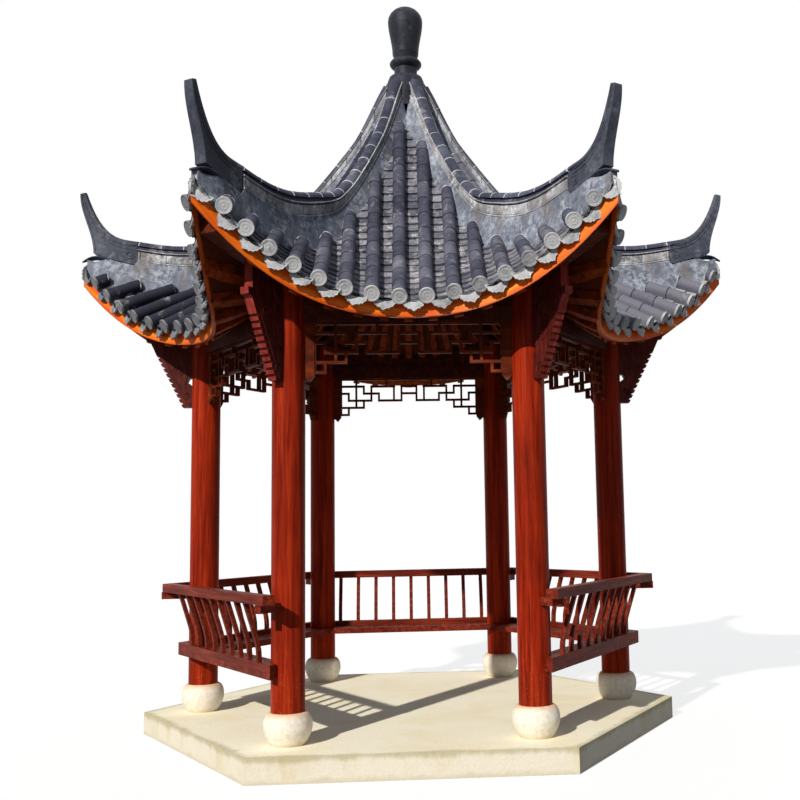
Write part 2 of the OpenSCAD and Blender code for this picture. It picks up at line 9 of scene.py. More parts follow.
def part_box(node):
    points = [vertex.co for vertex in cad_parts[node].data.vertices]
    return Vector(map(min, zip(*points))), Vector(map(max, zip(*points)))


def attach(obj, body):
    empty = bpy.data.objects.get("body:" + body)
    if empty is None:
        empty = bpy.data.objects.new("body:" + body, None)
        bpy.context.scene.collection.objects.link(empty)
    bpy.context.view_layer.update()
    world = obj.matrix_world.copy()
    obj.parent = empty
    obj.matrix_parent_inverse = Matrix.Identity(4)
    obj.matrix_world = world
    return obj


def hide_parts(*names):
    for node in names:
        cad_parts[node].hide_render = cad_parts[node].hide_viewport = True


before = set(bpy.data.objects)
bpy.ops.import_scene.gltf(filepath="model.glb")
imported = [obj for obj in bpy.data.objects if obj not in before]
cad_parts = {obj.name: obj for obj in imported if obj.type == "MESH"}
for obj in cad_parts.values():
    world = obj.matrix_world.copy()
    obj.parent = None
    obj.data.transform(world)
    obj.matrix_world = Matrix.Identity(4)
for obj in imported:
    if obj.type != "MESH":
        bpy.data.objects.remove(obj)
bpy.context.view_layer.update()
scene = bpy.context.scene
dice = random.Random(11)
print("frame loaded, nodes:", len(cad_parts))

six = range(1, 7)  # numbers of the bays and of the corners
cos30, sin30, tan30 = math.cos(math.radians(30)), 0.5, math.tan(math.radians(30))

# roof form, the same curves as the solids, in metres
roofForm = {
    "columnR": 1.6, "eaveOver": 0.314, "cornerOver": 0.84, "eaveBow": 2.1,
    "rise": 2.09, "apexSlope": 1.995, "eaveSlope": 0.608,
    "cornerLift": 0.95, "liftBow": 1.4, "liftIn": 0.486,
    "seatZ": 3.197, "boardT": 0.03, "boardH": 0.125,
}
colU = roofForm["columnR"] * cos30
eaveU = colU + roofForm["eaveOver"]
cornerU = colU + roofForm["cornerOver"]
liftU = colU - roofForm["liftIn"]
cornerR = cornerU / cos30


def easeAt(x):
    x = min(1.0, max(0.0, x))
    return x * x * (3 - 2 * x)


def riseAt(u):
    s = u / eaveU
    if s > 1:
        return -roofForm["eaveSlope"] * (u - eaveU)
    return (roofForm["rise"] * (2 * s**3 - 3 * s**2 + 1)
            - eaveU * roofForm["apexSlope"] * (s**3 - 2 * s**2 + s)
            - eaveU * roofForm["eaveSlope"] * (s**3 - s**2))


def liftAt(u):
    if u < liftU:
        return 0.0
    return roofForm["cornerLift"] * ((u - liftU) / (cornerU - liftU)) ** roofForm["liftBow"]


def roofZ(u, t):
    return roofForm["seatZ"] + riseAt(u) - riseAt(colU) + liftAt(u) * t * t


def eaveAt(t):
    return eaveU + (cornerU - eaveU) * abs(t) ** roofForm["eaveBow"]


def hipZ(r):
    return roofZ(r * cos30, 1)


def sideZ(r, d):  # roof height beside a hip
    u = r * cos30 + d * sin30
    return roofZ(u, (r * sin30 - d * cos30) / (u * tan30))


def facePoint(u, v, up=0.0):  # point over a roof face, u outward and v sideways
    return Vector((u, v, roofZ(u, v / (u * tan30)) + up))


def bayTurn(k):
    return Matrix.Rotation(math.radians(-150 + 60 * k), 4, "Z")


def cornerTurn(k):
    return Matrix.Rotation(math.radians(-120 + 60 * k), 4, "Z")


# short node helpers for the finishes
def tone(r, g, b):  # screen colour to a shader colour
    parts = [c / 255 for c in (r, g, b)]
    return tuple(p / 12.92 if p <= 0.04 else ((p + 0.055) / 1.055) ** 2.4 for p in parts) + (1.0,)


def newNode(owner, kind):
    return owner.node_tree.nodes.new("ShaderNode" + kind)


def startFinish(name):
    mat = bpy.data.materials.new(name)
    mat.use_nodes = True
    shader = mat.node_tree.nodes["Principled BSDF"]
    coords = newNode(mat, "TexCoord")
    return mat, shader, coords.outputs["Object"]


def feed(mat, socket, value):
    if isinstance(value, bpy.types.NodeSocket):
        mat.node_tree.links.new(value, socket)
    else:
        socket.default_value = value


def noiseOn(mat, place, scale, detail=4.0, rough=0.55, size=(1, 1, 1), turn=0.0, distort=0.0):
    moved = newNode(mat, "Mapping")
    moved.vector_type = "TEXTURE"
    moved.inputs["Rotation"].default_value = (0, 0, math.radians(turn))
    moved.inputs["Scale"].default_value = size
    made = newNode(mat, "TexNoise")
    for key, number in (("Scale", scale), ("Detail", detail), ("Roughness", rough), ("Distortion", distort)):
        made.inputs[key].default_value = number
    feed(mat, moved.inputs["Vector"], place)
    feed(mat, made.inputs["Vector"], moved.outputs["Vector"])
    return made.outputs["Fac"]


def specksOn(mat, place, scale):
    made = newNode(mat, "TexVoronoi")
    made.inputs["Scale"].default_value = scale
    feed(mat, made.inputs["Vector"], place)
    return made


def calc(mat, how, a, b=0.0, clamp=False):
    made = newNode(mat, "Math")
    made.operation = how
    made.use_clamp = clamp
    feed(mat, made.inputs[0], a)
    feed(mat, made.inputs[1], b)
    return made.outputs[0]


def addShare(mat, a, b, share):
    return calc(mat, "ADD", a, calc(mat, "MULTIPLY", b, share))


def spread(mat, value, low, high, outLow=0.0, outHigh=1.0):
    made = newNode(mat, "MapRange")
    made.interpolation_type = "SMOOTHSTEP"
    for key, number in (("From Min", low), ("From Max", high), ("To Min", outLow), ("To Max", outHigh)):
        made.inputs[key].default_value = number
    feed(mat, made.inputs["Value"], value)
    return made.outputs["Result"]


def mixTone(mat, amount, a, b):
    made = newNode(mat, "Mix")
    made.data_type = "RGBA"
    feed(mat, made.inputs[0], amount)
    feed(mat, made.inputs[6], a)
    feed(mat, made.inputs[7], b)
    return made.outputs[2]


def toneRamp(mat, value, stops):
    made = newNode(mat, "ValToRGB")
    ramp = made.color_ramp
    while len(ramp.elements) < len(stops):
        ramp.elements.new(0.5)
    for element, (at, colour) in zip(ramp.elements, stops):
        element.position = at
        element.color = colour
    feed(mat, made.inputs["Fac"], value)
    return made.outputs["Color"]


def closeFinish(mat, shader, colour, rough, height, strength, distance):
    feed(mat, shader.inputs["Base Color"], colour)
    feed(mat, shader.inputs["Roughness"], rough)
    made = newNode(mat, "Bump")
    made.inputs["Strength"].default_value = strength
    made.inputs["Distance"].default_value = distance
    feed(mat, made.inputs["Height"], height)
    feed(mat, shader.inputs["Normal"], made.outputs["Normal"])
    return mat


def splitPlace(mat, place):
    made = newNode(mat, "SeparateXYZ")
    feed(mat, made.inputs["Vector"], place)
    return made.outputs["X"], made.outputs["Y"], made.outputs["Z"]


def faceUp(mat):  # how far a face looks up
    made = newNode(mat, "NewGeometry")
    return splitPlace(mat, made.outputs["Normal"])[2]


def outwardness(mat, place):  # how far a face looks away from the axis
    flat = newNode(mat, "VectorMath")
    flat.operation = "MULTIPLY"
    feed(mat, flat.inputs[0], place)
    flat.inputs[1].default_value = (1, 1, 0)
    unit = newNode(mat, "VectorMath")
    unit.operation = "NORMALIZE"
    feed(mat, unit.inputs[0], flat.outputs[0])
    facing = newNode(mat, "NewGeometry")
    dot = newNode(mat, "VectorMath")
    dot.operation = "DOT_PRODUCT"
    feed(mat, dot.inputs[0], unit.outputs[0])
    feed(mat, dot.inputs[1], facing.outputs["Normal"])
    return dot.outputs["Value"]


def ownValue(mat, name):  # a value carried by the mesh
    made = newNode(mat, "Attribute")
    made.attribute_name = name
    return made.outputs["Fac"]


# lacquer on turned and planed wood
lacquerLooks = {
    "redLacquer": {
        "dark": tone(80, 15, 6), "mid": tone(141, 36, 14), "light": tone(182, 63, 23),
        "size": (0.09, 0.09, 2.2), "rough": (0.3, 0.46), "shine": 0.04,
    },
    "plumLacquer": {
        "dark": tone(62, 19, 11), "mid": tone(112, 38, 23), "light": tone(152, 67, 43),
        "size": (0.1, 1.6, 0.1), "rough": (0.42, 0.62), "shine": 0.05,
    },
    "latticeLacquer": {
        "dark": tone(46, 14, 7), "mid": tone(94, 36, 16), "light": tone(142, 66, 28),
        "size": (0.12, 1.2, 0.3), "rough": (0.5, 0.7), "shine": 0.04,
    },
    "darkLacquer": {
        "dark": tone(34, 12, 8), "mid": tone(70, 26, 15), "light": tone(108, 48, 27),
        "size": (0.2, 0.2, 0.2), "rough": (0.5, 0.68), "shine": 0.06,
    },
    "rafterWood": {
        "dark": tone(72, 24, 9), "mid": tone(138, 56, 20), "light": tone(176, 86, 34),
        "size": (0.2, 0.2, 0.2), "rough": (0.45, 0.65), "shine": 0.08,
    },
    "carvedWood": {
        "dark": tone(44, 12, 9), "mid": tone(80, 25, 18), "light": tone(116, 46, 35),
        "size": (0.12, 0.12, 0.4), "rough": (0.45, 0.62), "shine": 0.1,
    },
}


def lacquerFinish(name, look, turn=0.0, foot=None, edge=None):
    mat, shader, place = startFinish(name)
    grain = noiseOn(mat, place, 3.2, 7, 0.62, look["size"], turn, 0.6)
    fine = noiseOn(mat, place, 17, 5, 0.6, look["size"], turn)
    patches = noiseOn(mat, place, 1.4, 3, 0.5)
    colour = toneRamp(mat, grain, [(0.3, look["dark"]), (0.52, look["mid"]), (0.76, look["light"])])
    colour = mixTone(mat, spread(mat, patches, 0.42, 0.7, 0.0, 0.45), colour, look["dark"])
    colour = mixTone(mat, spread(mat, fine, 0.56, 0.72, 0.0, 0.3), colour, look["light"])
    if foot:
        dust = noiseOn(mat, place, 60, 5, 0.7)
        rise = splitPlace(mat, place)[2]
        near = spread(mat, rise, foot[0], foot[1], 1.0, 0.0)
        spots = calc(mat, "MULTIPLY", near, spread(mat, dust, 0.56, 0.66), True)
        colour = mixTone(mat, calc(mat, "MULTIPLY", spots, 0.18), colour, tone(186, 120, 70))
    if edge:  # painted faces that look outward
        colour = mixTone(mat, spread(mat, outwardness(mat, place), 0.35, 0.6), colour,
                         mixTone(mat, spread(mat, grain, 0.35, 0.7), edge[0], edge[1]))
    shader.inputs["Specular IOR Level"].default_value = look["shine"]
    rough = spread(mat, fine, 0.3, 0.75, *look["rough"])
    return closeFinish(mat, shader, colour, rough, addShare(mat, grain, fine, 0.5), 0.16, 0.004)


# cream stone slab with a mossy rim; the top and the sides get separate tones, the sides darker than the top
# as painted shade
slabLook = {
    "half": 1.7667, "topZ": 0.16,
    "top": tone(253, 246, 221), "warm": tone(248, 236, 202), "side": tone(221, 213, 194),
    "sideWarm": tone(209, 197, 167), "moss": tone(152, 139, 84), "dirt": tone(166, 152, 120),
}


def slabFinish():
    mat, shader, place = startFinish("slabStone")
    x, y, z = splitPlace(mat, place)
    patches = noiseOn(mat, place, 1.6, 5, 0.62, distort=0.6)
    grain = noiseOn(mat, place, 38, 5, 0.65)
    pits = specksOn(mat, place, 70)
    stains = noiseOn(mat, place, 4.5, 6, 0.7, (1, 1, 2.6))
    slant = calc(mat, "MULTIPLY", x, cos30)
    lean = calc(mat, "MULTIPLY", y, 0.5)
    edge = calc(mat, "ABSOLUTE", y)
    for how in ("ADD", "SUBTRACT"):
        edge = calc(mat, "MAXIMUM", edge, calc(mat, "ABSOLUTE", calc(mat, how, lean, slant)))
    up = spread(mat, faceUp(mat), 0.4, 0.8)
    # painted light: the top tone is lighter and the side tone darker, mixed by how far a face looks up, so
    # the sides read as shaded
    paintedLitTopTone = mixTone(mat, spread(mat, patches, 0.4, 0.68), slabLook["top"], slabLook["warm"])
    paintedShadeSideTone = mixTone(mat, spread(mat, stains, 0.45, 0.75), slabLook["side"], slabLook["sideWarm"])
    colour = mixTone(mat, up, paintedShadeSideTone, paintedLitTopTone)
    broken = calc(mat, "MULTIPLY", calc(mat, "SUBTRACT", stains, 0.5), 0.16)
    rim = spread(mat, calc(mat, "ADD", edge, broken), slabLook["half"] - 0.075, slabLook["half"] + 0.01)
    band = spread(mat, addShare(mat, z, broken, 0.6), slabLook["topZ"] - 0.045, slabLook["topZ"] - 0.005)
    moss = mixTone(mat, up, band, rim)
    colour = mixTone(mat, calc(mat, "MULTIPLY", moss, 0.54), colour, slabLook["moss"])
    low = spread(mat, calc(mat, "ADD", z, broken), 0.0, 0.04, 0.35, 0.0)
    colour = mixTone(mat, low, colour, slabLook["dirt"])
    colour = mixTone(mat, spread(mat, grain, 0.45, 0.8, 0.0, 0.14), colour, slabLook["dirt"])
    height = addShare(mat, addShare(mat, grain, pits.outputs["Distance"], 0.6), stains, 0.8)
    return closeFinish(mat, shader, colour, spread(mat, grain, 0.3, 0.7, 0.82, 0.95), height, 0.3, 0.006)


# speckled granite of the column stones
plinthLook = {"pale": tone(230, 223, 209), "grey": tone(213, 203, 188), "dark": tone(166, 150, 132),
              "bright": tone(240, 234, 224), "rust": tone(220, 166, 104), "soil": tone(168, 150, 112),
              "topZ": 0.365}


def plinthFinish():
    mat, shader, place = startFinish("plinthStone")
    fine = noiseOn(mat, place, 120, 3, 0.7)
    blot = noiseOn(mat, place, 34, 4, 0.6)
    soil = noiseOn(mat, place, 7, 5, 0.6)
    z = splitPlace(mat, place)[2]
    colour = toneRamp(mat, blot, [(0.34, plinthLook["grey"]), (0.58, plinthLook["pale"])])
    colour = mixTone(mat, spread(mat, fine, 0.58, 0.68, 0.0, 0.6), colour, plinthLook["dark"])
    colour = mixTone(mat, spread(mat, fine, 0.3, 0.4, 0.6, 0.0), colour, plinthLook["bright"])
    ring = spread(mat, addShare(mat, z, soil, 0.03), plinthLook["topZ"] - 0.03, plinthLook["topZ"] + 0.016,
                  0.0, 0.55)
    colour = mixTone(mat, ring, colour, plinthLook["rust"])
    foot = spread(mat, addShare(mat, z, soil, -0.06), 0.12, 0.175, 0.5, 0.0)
    colour = mixTone(mat, foot, colour, plinthLook["soil"])
    rough = spread(mat, blot, 0.3, 0.7, 0.62, 0.82)
    return closeFinish(mat, shader, colour, rough, calc(mat, "ADD", fine, blot), 0.18, 0.003)


# fired clay of the roof: charcoal tiles, pale tile ends, ridge courses, lime mortar
clayLooks = {
    "roofTile": {
        "dark": tone(42, 43, 55), "mid": tone(73, 74, 89), "light": tone(108, 108, 119),
        "bloom": tone(158, 156, 158), "bloomFrom": 0.62, "rough": (0.55, 0.8), "bump": 0.2, "shine": 0.12,
    },
    "panTile": {
        "dark": tone(56, 57, 68), "mid": tone(104, 104, 115), "light": tone(150, 149, 154),
        "bloom": tone(204, 202, 200), "bloomFrom": 0.55, "rough": (0.6, 0.85), "bump": 0.25, "shine": 0.08,
    },
    "tileEnd": {
        "dark": tone(120, 121, 126), "mid": tone(182, 183, 186), "light": tone(205, 205, 206),
        "bloom": tone(217, 218, 219), "bloomFrom": 0.62, "rough": (0.7, 0.9), "bump": 0.55, "shine": 0.06,
    },
    "ridgeCourse": {
        "dark": tone(94, 93, 96), "mid": tone(142, 142, 146), "light": tone(178, 179, 183),
        "bloom": tone(220, 221, 224), "bloomFrom": 0.52, "rough": (0.7, 0.9), "bump": 0.4, "shine": 0.05,
        "earth": tone(124, 112, 103),
    },
    "limeMortar": {
        "dark": tone(66, 71, 84), "mid": tone(112, 117, 130), "light": tone(152, 158, 170),
        "bloom": tone(200, 206, 216), "bloomFrom": 0.51, "bloomShare": 0.42,
        "rough": (0.8, 0.95), "bump": 0.5, "shine": 0.04, "earth": tone(118, 106, 96),
    },
    "ridgeCap": {
        "dark": tone(40, 42, 55), "mid": tone(66, 68, 85), "light": tone(98, 100, 114),
        "bloom": tone(150, 150, 156), "bloomFrom": 0.62, "rough": (0.5, 0.75), "bump": 0.2, "shine": 0.12,
    },
    "jointLime": {
        "dark": tone(138, 141, 148), "mid": tone(172, 175, 181), "light": tone(200, 202, 206),
        "bloom": tone(224, 226, 228), "bloomFrom": 0.55, "rough": (0.8, 0.95), "bump": 0.4, "shine": 0.05,
    },
    "darkGlaze": {
        "dark": tone(20, 21, 27), "mid": tone(38, 40, 49), "light": tone(66, 68, 78),
        "bloom": tone(104, 105, 112), "bloomFrom": 0.64, "rough": (0.36, 0.6), "bump": 0.15, "shine": 0.12,
    },
    "hornGlaze": {
        "dark": tone(36, 38, 48), "mid": tone(62, 65, 77), "light": tone(96, 99, 110),
        "bloom": tone(132, 136, 146), "bloomFrom": 0.6, "rough": (0.45, 0.7), "bump": 0.2, "shine": 0.12,
    },
}


def clayFinish(name, look, ownTone=False, under=None):
    mat, shader, place = startFinish(name)
    patches = noiseOn(mat, place, 2.6, 6, 0.65, distort=0.4)
    grain = noiseOn(mat, place, 26, 6, 0.68)
    grit = noiseOn(mat, place, 130, 3, 0.6)
    runs = noiseOn(mat, place, 9, 5, 0.6, (1, 1, 2.2))
    value = addShare(mat, calc(mat, "MULTIPLY", patches, 0.6), grain, 0.4)
    if ownTone:
        shade = calc(mat, "SUBTRACT", ownValue(mat, "tone"), 0.5)
        value = addShare(mat, value, shade, 0.16)
    colour = toneRamp(mat, value, [(0.33, look["dark"]), (0.5, look["mid"]), (0.68, look["light"])])
    bloom = calc(mat, "MULTIPLY", spread(mat, runs, look["bloomFrom"] - 0.08, look["bloomFrom"] + 0.1),
                 spread(mat, grain, 0.4, 0.62), True)
    share = look.get("bloomShare", 0.7)
    colour = mixTone(mat, calc(mat, "MULTIPLY", bloom, share), colour, look["bloom"])
    if "earth" in look:  # brown weathering in broad streaks
        streaks = noiseOn(mat, place, 5, 5, 0.6, (1, 1, 2.5), distort=0.4)
        colour = mixTone(mat, spread(mat, streaks, 0.52, 0.7, 0.0, 0.5), colour, look["earth"])
    if under:
        colour = mixTone(mat, spread(mat, faceUp(mat), -0.25, 0.1, 1.0, 0.0), colour, under)
    shader.inputs["Specular IOR Level"].default_value = look["shine"]
    rough = spread(mat, grain, 0.3, 0.7, *look["rough"])
    height = addShare(mat, addShare(mat, grain, grit, 0.5), runs, 0.6)
    return closeFinish(mat, shader, colour, rough, height, look["bump"], 0.006)


# varnished orange eave boards, grain runs along the board
boardLook = {"deep": tone(206, 72, 8), "mid": tone(236, 106, 12), "light": tone(247, 146, 30),
             "edge": tone(96, 34, 12), "shine": 0.2}


def boardFinish():
    mat, shader, place = startFinish("orangeBoard")
    along = ownValue(mat, "along")
    across = ownValue(mat, "across")
    joined = newNode(mat, "CombineXYZ")
    feed(mat, joined.inputs["X"], along)
    feed(mat, joined.inputs["Y"], calc(mat, "MULTIPLY", across, 14.0))
    grain = noiseOn(mat, joined.outputs["Vector"], 2.4, 6, 0.6, distort=0.5)
    fine = noiseOn(mat, joined.outputs["Vector"], 14, 4, 0.6)
    blot = noiseOn(mat, place, 3, 3, 0.5)
    stops = [(0.3, boardLook["deep"]), (0.52, boardLook["mid"]), (0.75, boardLook["light"])]
    colour = toneRamp(mat, grain, stops)
    colour = mixTone(mat, spread(mat, blot, 0.5, 0.75, 0.0, 0.4), colour, boardLook["deep"])
    colour = mixTone(mat, spread(mat, across, 0.0, 0.02, 0.55, 0.0), colour, boardLook["edge"])
    shader.inputs["Specular IOR Level"].default_value = boardLook["shine"]
    rough = spread(mat, fine, 0.3, 0.7, 0.36, 0.55)
    return closeFinish(mat, shader, colour, rough, addShare(mat, grain, fine, 0.4), 0.12, 0.003)


clays = {name: clayFinish(name, look, name in ("roofTile", "panTile", "tileEnd", "ridgeCourse", "ridgeCap"))
         for name, look in clayLooks.items()}
panelFinish = clayFinish("roofBed", clayLooks["panTile"], under=tone(76, 32, 15))
orangeBoard = boardFinish()
print("finishes ready")


def dressNode(name, finish):
    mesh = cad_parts[name].data
    mesh.materials.clear()
    mesh.materials.append(finish)


dressNode("platform", slabFinish())
dressNode("plinths", plinthFinish())
columnFinish = lacquerFinish("redLacquer", lacquerLooks["redLacquer"], foot=(0.37, 0.95))
darkFinish = lacquerFinish("darkLacquer", lacquerLooks["darkLacquer"])
carvedFinish = lacquerFinish("carvedWood", lacquerLooks["carvedWood"],
                             edge=(tone(112, 32, 26), tone(158, 64, 54)))
for k in six:
    dressNode(f"column_{k}", columnFinish)
    dressNode(f"hanging_lattice_{k}",
              lacquerFinish(f"latticeLacquer{k}", lacquerLooks["latticeLacquer"], -150 + 60 * k))
    dressNode(f"roof_panel_{k}", panelFinish)
    dressNode(f"hip_ridge_{k}", clays["ridgeCourse"])
for k in range(1, 6):
    dressNode(f"bench_back_{k}", lacquerFinish(f"plumLacquer{k}", lacquerLooks["plumLacquer"], -90 + 60 * k))
dressNode("rafters", lacquerFinish("rafterWood", lacquerLooks["rafterWood"]))
for name in ("tie_beams", "eave_plates", "corner_beams", "king_post"):
    dressNode(name, darkFinish)
seatFinish = lacquerFinish("plumLacquerSeat", lacquerLooks["plumLacquer"])
for name in ("bench_seats", "rail_arms"):
    dressNode(name, seatFinish)
dressNode("corner_brackets", carvedFinish)
dressNode("eave_fascia", orangeBoard)
dressNode("tile_rows", clays["roofTile"])
dressNode("ridge_horns", clays["hornGlaze"])
dressNode("finial", clays["darkGlaze"])
print("solids dressed")


# mesh helpers
def sweepRings(bm, rings, marks=None, layers=None):  # extrudes a closed ring from place to place, ends shut
    verts = [bm.verts.new(p) for p in rings[0]]
    edges = [bm.edges.new((a, b)) for a, b in zip(verts, verts[1:] + verts[:1])]
    first = verts
    rows = [verts]
    for ring in rings[1:]:
        grown = bmesh.ops.extrude_edge_only(bm, edges=edges)["geom"]
        fresh = {g for g in grown if isinstance(g, bmesh.types.BMVert)}
        verts = [next(e.other_vert(v) for e in v.link_edges if e.other_vert(v) in fresh) for v in verts]
        for v, p in zip(verts, ring):
            v.co = p
        grownEdges = [g for g in grown if isinstance(g, bmesh.types.BMEdge)]
        edges = [e for e in grownEdges if e.verts[0] in fresh and e.verts[1] in fresh]
        rows.append(verts)
    bm.faces.new(first)
    bm.faces.new(verts[::-1])
    if layers:
        for row, mark in zip(rows, marks):
            for v, pair in zip(row, mark):
                for layer, number in zip(layers, pair):
                    v[layer] = number
    return rows


def sweepTurned(bm, rings, turn):
    sweepRings(bm, [[turn @ p for p in ring] for ring in rings])


def tintRows(rows, layer, tint):
    for row in rows:
        for v in row:
            v[layer] = tint


def roundAngles(steps, whole=True):  # angles of a round section, or of a half round
    if whole:
        return [math.tau * i / steps for i in range(steps)]
    return [math.pi * i / steps for i in range(steps + 1)]


def meshFrom(bm, name):
    bmesh.ops.recalc_face_normals(bm, faces=bm.faces)
    mesh = bpy.data.meshes.new(name)
    bm.to_mesh(mesh)
    bm.free()
    return mesh


def addPiece(mesh, finish, crease=40):
    mesh.materials.append(finish)
    mesh.shade_smooth()
    mesh.set_sharp_from_angle(angle=math.radians(crease))
    piece = bpy.data.objects.new(mesh.name, mesh)
    scene.collection.objects.link(piece)
    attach(piece, "root")
    return piece


def joinCopies(name, master, places, tones, shadedEndY=None):  # one mesh from many placed copies of a small shape
    points = np.array([v.co[:] + (1.0,) for v in master.vertices])
    faces = [tuple(p.vertices) for p in master.polygons]
    count = len(points)
    coords, polys = [], []
    for i, place in enumerate(places):
        coords.append(points @ np.array(place).T)
        polys.extend(tuple(n + i * count for n in face) for face in faces)
    mesh = bpy.data.meshes.new(name)
    mesh.from_pydata(np.concatenate(coords)[:, :3].tolist(), [], polys)
    shades = np.repeat(tones, count)
    if shadedEndY is not None:  # painted shade at the upper end of each copy, where the next tile laps over it
        shades -= tileRows["paintedSeamShade"][name] * np.tile(points[:, 1] <= shadedEndY + 0.001, len(places))
    mesh.attributes.new("tone", "FLOAT", "POINT").data.foreach_set("value", shades)
    return mesh


def arcRing(radius, y, steps, skirt):  # half-round section with straight skirts
    ring = [Vector((radius * math.cos(a), y, radius * math.sin(a))) for a in roundAngles(steps, False)]
    return [Vector((radius, y, -skirt))] + ring + [Vector((-radius, y, -skirt))]


# roof tiles: rows of covers over pans, with discs and drips along the eaves
# bay 2's covers and pans are set paler as painted sunlight; bay 6's tiles are set darker
tileRows = {"rows": 16, "leftGap": 0.235, "rightGap": 0.17, "overhang": 0.045, "axisUp": 0.054,
            "coverLen": 0.2, "radius": 0.049, "panLen": 0.096, "panWide": 0.185, "panUp": 0.016,
            "hipGap": 0.05, "panHipGap": 0.03, "leftDrip": 0.095, "leftDripWide": 1.2,
            "rightDrip": 0.075, "lip": 0.003, "bayPaintedLightAndTone": {2: 1.3, 6: -1.6}, "endTones": {6: -1.6},
            # the seam darkening is painted shade where each tile goes under the next
            "seam": 0.014, "paintedSeamShade": {"coverTiles": 2.6, "panTiles": 5.0}, "skirt": 0.034,
            "panSag": 0.022, "panThick": 0.011, "panTuck": 1.25, "dripThick": 0.014, "cornerCut": 0.75}


def coverMaster():
    bm = bmesh.new()
    half, radius = tileRows["coverLen"] / 2, tileRows["radius"]
    stations = [(-half, 0.97), (tileRows["seam"] - half, 0.971), (half * 0.88, 0.985), (half * 0.9, 1.015),
                (half, 1.015)]
    sweepRings(bm, [arcRing(radius * s, y, 8, tileRows["skirt"]) for y, s in stations])
    return meshFrom(bm, "coverTile")


def panMaster():
    bm = bmesh.new()
    wide, half, thick = tileRows["panWide"] / 2, tileRows["panLen"] / 2, tileRows["panThick"]
    start = -half * tileRows["panTuck"]
    top = [Vector((wide * i / 2, 0, tileRows["panSag"] * (i / 2) ** 2)) for i in range(-2, 3)]

    def ringAt(y):  # the lower end lies on the next pan
        up = 0.001 + thick * (y - start) / (half - start)
        return [p + Vector((0, y, up)) for p in top] + [p + Vector((0, y, up - thick)) for p in top[::-1]]

    sweepRings(bm, [ringAt(y) for y in (start, -half, tileRows["seam"] - half, half)])
    return meshFrom(bm, "panTile")


def discMaster():
    bm = bmesh.new()
    profile = [(0.0, 0.0162), (0.007, 0.016), (0.01, 0.0151), (0.02, 0.0151), (0.0225, 0.016),
               (0.026, 0.016), (0.0285, 0.0151), (0.041, 0.0151), (0.044, 0.0168), (0.0515, 0.0164),
               (0.0525, 0.0), (0.0, 0.0)]
    verts = [bm.verts.new((x, y, 0)) for x, y in profile]
    edges = [bm.edges.new(pair) for pair in zip(verts, verts[1:])]
    bmesh.ops.spin(bm, geom=verts + edges, cent=(0, 0, 0), axis=(0, 1, 0), angle=math.tau, steps=22,
                   use_merge=True)
    bmesh.ops.remove_doubles(bm, verts=bm.verts, dist=0.0004)
    return meshFrom(bm, "tileDisc")


def dripMaster():
    bm = bmesh.new()
    side = [(0.074, 0.012), (0.079, -0.004), (0.073, -0.017), (0.075, -0.029), (0.064, -0.039), (0.06, -0.05),
            (0.046, -0.053), (0.039, -0.062), (0.024, -0.062), (0.015, -0.068), (0.0, -0.078)]
    top = [(-0.074 + 0.148 * i / 8, 0.012 - 0.026 * (1 - (i / 4 - 1) ** 2)) for i in range(1, 8)]
    outline = [(x, 1.2 * z + 0.012) for x, z in side + [(-x, z) for x, z in side[-2::-1]] + top]
    face = bm.faces.new([bm.verts.new((x, 0.0, z)) for x, z in outline])
    grown = bmesh.ops.extrude_face_region(bm, geom=[face])["geom"]
    moved = [g for g in grown if isinstance(g, bmesh.types.BMVert)]
    bmesh.ops.translate(bm, verts=moved, vec=(0, tileRows["dripThick"], 0))
    bmesh.ops.recalc_face_normals(bm, faces=bm.faces)
    front = [f for f in bm.faces if len(f.verts) > 4 and f.calc_center_median().y > 0.01]
    bmesh.ops.inset_region(bm, faces=front, thickness=0.006, depth=-0.003, use_even_offset=True)
    bmesh.ops.inset_region(bm, faces=front, thickness=0.008, depth=0.003, use_even_offset=True)
    return meshFrom(bm, "dripTile")


def eaveArc():  # places along the eave by their true length
    ts = [i / 300 - 1 for i in range(601)]
    points = [facePoint(eaveAt(t), eaveAt(t) * t * tan30) for t in ts]
    total, lengths = 0.0, [0.0]
    for a, b in zip(points, points[1:]):
        total += (b - a).length
        lengths.append(total)
    return ts, lengths


arcTs, arcLengths = eaveArc()


def rowAt(s):  # foot of a tile row at the eave
    t = float(np.interp(s, arcLengths, arcTs))
    return eaveAt(t), eaveAt(t) * t * tan30


def hipGap(u, v):  # plan distance to the nearer hip
    return (u * tan30 - abs(v)) * cos30


def framePlace(head, foot, across, up, wide=1.0, long=1.0):
    y = (foot - head).normalized()
    x = (across - y * across.dot(y)).normalized()
    z = x.cross(y)
    middle = (head + foot) / 2 + z * up
    return Matrix(((x.x * wide, y.x * long, z.x, middle.x), (x.y * wide, y.y * long, z.y, middle.y),
                   (x.z * wide, y.z * long, z.z, middle.z), (0, 0, 0, 1)))


def acrossAt(u, v):
    return facePoint(u, v - 0.02) - facePoint(u, v + 0.02)


def overhangAt(t):  # the rows reach out less at the corners
    return tileRows["overhang"] * (1 - tileRows["cornerCut"] * t**6)


def layRow(s, length, limit, less=0.0):  # tiles of one row from the eave up, the last one cut to the ridge
    u, v = rowAt(s)
    u += overhangAt(v / (u * tan30)) - less
    run, part = [], 1.0
    while part == 1.0:
        foot = facePoint(u, v)
        step = length / (foot - facePoint(u - 0.05, v)).length * 0.05
        while part > 0.1 and (u - step * part < 0.19 or hipGap(u - step * part, v) < limit):
            part -= 0.05
        if part <= 0.1:
            break
        run.append((facePoint(u - step * part, v), foot, acrossAt(u - step * part / 2, v), part))
        u -= step * part
    return run


